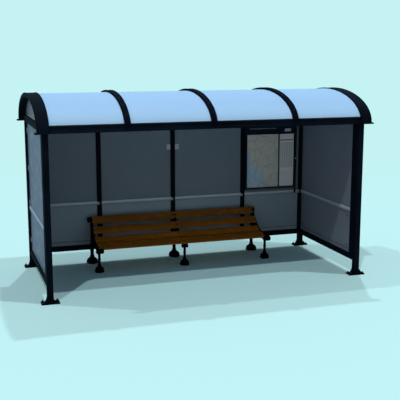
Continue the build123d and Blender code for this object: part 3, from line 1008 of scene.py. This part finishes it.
def support_scrolls(side):
    """(forward, height, radius, half width, rim, offset along X) of a support's scrolls."""
    top = (0.015, 0.688, 0.040, 0.044, 0.016, -0.007 if side > 0 else -0.020)
    if side:
        return [top, (0.600, 0.325, 0.040, 0.059, 0.022, 0.016 + 0.008 * side)]
    return [top, (0.585, 0.305, 0.030, 0.052, 0.012, 0.0)]


def build_frame_bars(casting, x):
    """A support's I-section bar under the slats, its web, its upright and the bar at its foot."""
    beam = mirrored([
        (BAR_HALF, 0.0), (BAR_HALF, 0.27), (0.014, 0.33), (WEB_HALF, 0.38), (WEB_HALF, 0.62),
        (0.014, 0.67), (BAR_HALF, 0.73), (BAR_HALF, 1.0),
    ])
    casting.loft(bar_rings(x, bar_edge(0.019), bar_edge(0.052), beam))
    front, web_top, upright_top, upright_half = 0.588, 0.555, 0.690, 0.014
    under = [slat_point(slat, 0.040) for slat in ALL_SLATS[1:]]
    web = [(0.0, SUPPORT_FOOT), (front, SUPPORT_FOOT)] + under[::-1] + [(0.0, web_top)]
    casting.loft([[(x + a, BENCH_Y - f, z) for f, z in web] for a in (-WEB_HALF, WEB_HALF)])
    low = (x - BAR_HALF, BENCH_Y - front, SUPPORT_FOOT)
    casting.box(low, (x + BAR_HALF, BENCH_Y, SUPPORT_FOOT + 0.009), 0.003)
    low = (x - BAR_HALF, BENCH_Y - upright_half, SUPPORT_FOOT)
    casting.box(low, (x + BAR_HALF, BENCH_Y + upright_half, upright_top), 0.004)


def build_rim_and_knee(casting, x, side):
    """An end support's rim over the ends of the seat's slats, and the knee behind its upright."""
    top = bar_edge(-0.003)
    start = next(k for k, point in enumerate(top) if point.x > RIM_START)
    half = RIM_THICKNESS / 2
    rim = mirrored([(half - 0.003, 0.0), (half, 0.05), (half, 1.0)])
    edge = side * (SLAT_END + RIM_PLAY + half)
    casting.loft(bar_rings(edge, top[start:], bar_edge(0.052)[start:], rim))
    casting.box((x - 0.015, BENCH_Y + 0.006, 0.405), (x + 0.015, BENCH_Y + 0.030, 0.505), 0.011)


def build_supports():
    """Cast supports: the bars, turned legs, and rolled scrolls at the head and the tip."""
    leg_height = SUPPORT_FOOT + 0.003
    for name, side in (("left", -1), ("middle", 0), ("right", 1)):
        x = middle(f"bench_{name}_support", "x")
        casting = Shape()
        build_frame_bars(casting, x)
        for leg, y in ((REAR_LEG, BENCH_Y), (FRONT_LEG, BENCH_Y - FRONT_LEG_FORWARD)):
            casting.lathe(leg_profile(*leg, leg_height), upright_place(x, y, 0.0))
        if side:
            build_rim_and_knee(casting, x, side)
        for forward, height, radius, half_width, rim, offset in support_scrolls(side):
            place = across_place(x + offset, BENCH_Y - forward, height)
            casting.lathe(scroll_profile(radius, half_width, rim), place, 36)
        casting.make(f"{name}_casting", CASTING, "bench_casting", [f"bench_{name}_support"], 40)


# ---- Display case ----
def build_case_sill():
    """The case's sill, between its foot and the boards."""
    low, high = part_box("display_case")
    top = span("map_board", "z")[0] - 0.004
    sill = Shape()
    sill.box((low.x, low.y - 0.002, top - 0.022), (high.x, low.y, top), 0.0008)
    sill.make("case_sill", BEAD, "case_paint")


def build_header_trim(bezel, bright):
    """A bezel round the header, a bright plate at its right end and a thin line on its left."""
    low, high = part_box("display_header")
    pane_frame(bezel, "y", low.y, -0.004, (low.x, low.z), (high.x, high.z), 0.010)
    line = Shape()
    for shape, left, foot, width, height, ease in (
        (bright, 0.663, 0.034, 0.110, 0.050, 0.0015), (line, 0.033, 0.088, 0.480, 0.012, 0.001)
    ):
        x, z = low.x + left, low.z + foot
        shape.box((x, low.y - 0.003, z), (x + width, low.y, z + height), ease)
    line.make("header_line", WALL, "case_paint")


def build_board_trim(bezel):
    """Bezels round the boards, and a pale margin at their foot."""
    margins = Shape()
    for node in ("map_board", "timetable_board"):
        low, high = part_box(node)
        pane_frame(bezel, "y", low.y, -0.006, (low.x, low.z), (high.x, high.z), 0.008)
        margins.box((low.x, low.y - 0.004, low.z + 0.008), (high.x, low.y, low.z + 0.016), 0.001)
    margins.make("board_margins", PALE, "case_paint")


def build_case_trim():
    """The display case's bezels, hinges, lock and plain strips."""
    hinge = [(0.001, 0.0), (0.006, 0.0), (0.007, 0.002), (0.007, 0.058), (0.006, 0.060), (0.001, 0.060)]
    lock = [(0.001, 0.0), (0.004, 0.0), (0.005, -0.001), (0.010, -0.001), (0.011, 0.002), (0.011, 0.004)]
    bezel, bright = Shape(), Shape()
    build_case_sill()
    build_header_trim(bezel, bright)
    build_board_trim(bezel)
    low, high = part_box("display_case")
    for z in (low.z + 0.24, high.z - 0.26):
        bezel.lathe(hinge, upright_place(low.x + 0.008, low.y - 0.002, z), 16)
    lock_height = (low.z + high.z) / 2
    bright.lathe(lock, inward_place(high.x - 0.014, low.y - 0.003, lock_height), 20)
    bezel.make("case_bezels", CASE_PAINT, "case_paint")
    bright.make("case_bright_parts", PALE, "rail_aluminium")


# ---- Stage ----
BACKGROUND = (0.558, 0.896, 0.896)
FLOOR = (0.524, 0.862, 0.890)
FLOOR_BOUNCE = (0.42, 0.44, 0.47)  # what the floor throws back on the shelter
FLOOR_REACH = 60.0
AMBIENT = (0.97, 0.98, 1.0)
AMBIENT_STRENGTH = 0.23
LAMP_SPREAD = 1.5
LAMPS = (  # name, way the light travels, energy
    ("back_left", (-0.197, -0.498, -1.0), 0.75),
    ("front_left", (0.308, 0.463, -1.0), 0.80),
    ("front_right", (-0.398, 0.240, -1.0), 0.84),
    ("back_right", (0.483, -0.278, -1.0), 0.56),
)
CAMERA_PLACE = (-3.5783, -11.2484, 3.2936)
CAMERA_DOWN = 10.6284  # degrees below the horizon
CAMERA_TURN = -18.2937  # degrees from +Y
CAMERA_LENS = 72.632  # millimetres, for a sensor 36 mm wide


def floor_material():
    """A diffuse floor that fades into the background far from the shelter."""
    material = bpy.data.materials.new("floor")
    material.use_nodes = True
    material.node_tree.nodes.clear()
    m = Nodes(material.node_tree)
    seen = m.seen_directly()
    matt = m.node("ShaderNodeBsdfDiffuse", {"Color": m.mix(seen, FLOOR_BOUNCE, FLOOR)})
    far = m.node("ShaderNodeEmission", {"Color": opaque(BACKGROUND)})
    place = m.node("ShaderNodeTexCoord").outputs["Object"]
    distance = m.node("ShaderNodeVectorMath", {0: place}, operation="LENGTH").outputs["Value"]
    m.blend("ShaderNodeOutputMaterial", m.times(m.grey(distance, 5.0, 12.0), seen), matt, far)
    return material


def build_floor():
    """A plain pale floor."""
    corners = [(-1, -1), (1, -1), (1, 1), (-1, 1)]
    floor = bpy.data.meshes.new("floor")
    floor.from_pydata([(x * FLOOR_REACH, y * FLOOR_REACH, 0) for x, y in corners], [], [(0, 1, 2, 3)])
    floor.materials.append(floor_material())
    piece = add_object("floor", floor)


def build_world():
    """Soft light from all round, behind a plain pale background."""
    world = bpy.data.worlds.new("studio")
    bpy.context.scene.world = world
    world.use_nodes = True
    world.node_tree.nodes.clear()
    w = Nodes(world.node_tree)
    soft = w.node("ShaderNodeBackground", {"Color": opaque(AMBIENT), "Strength": AMBIENT_STRENGTH})
    plain = w.node("ShaderNodeBackground", {"Color": opaque(BACKGROUND)})
    w.blend("ShaderNodeOutputWorld", w.seen_directly(), soft, plain)


def build_lamps():
    """Four suns, whose shadows lie as in the photograph."""
    for name, travel, energy in LAMPS:
        lamp = bpy.data.lights.new(name, "SUN")
        lamp.energy = energy
        lamp.angle = radians(LAMP_SPREAD)
        piece = add_object(name, lamp)
        piece.rotation_euler = Vector(travel).to_track_quat("-Z", "Y").to_euler()


def build_camera():
    """The photograph's view."""
    lens = bpy.data.cameras.new("camera")
    lens.sensor_width = 36.0
    lens.lens = CAMERA_LENS
    lens.clip_end = 200.0
    camera = add_object("camera", lens)
    camera.location = CAMERA_PLACE
    camera.rotation_euler = (radians(90 - CAMERA_DOWN), 0, radians(CAMERA_TURN))
    bpy.context.scene.camera = camera


finish_cad_nodes()
build_ribs()
build_sheets()
build_end_arches()
build_beams()
build_gable_trim()
build_pane_trim()
build_panel_screws()
build_waist_rails()
build_panel_clamps()
build_bare_plates()
build_corner_beads()
build_post_feet()
build_slats()
build_supports()
build_case_trim()
build_floor()
build_world()
build_lamps()
build_camera()
bpy.context.scene.view_settings.view_transform = "Standard"
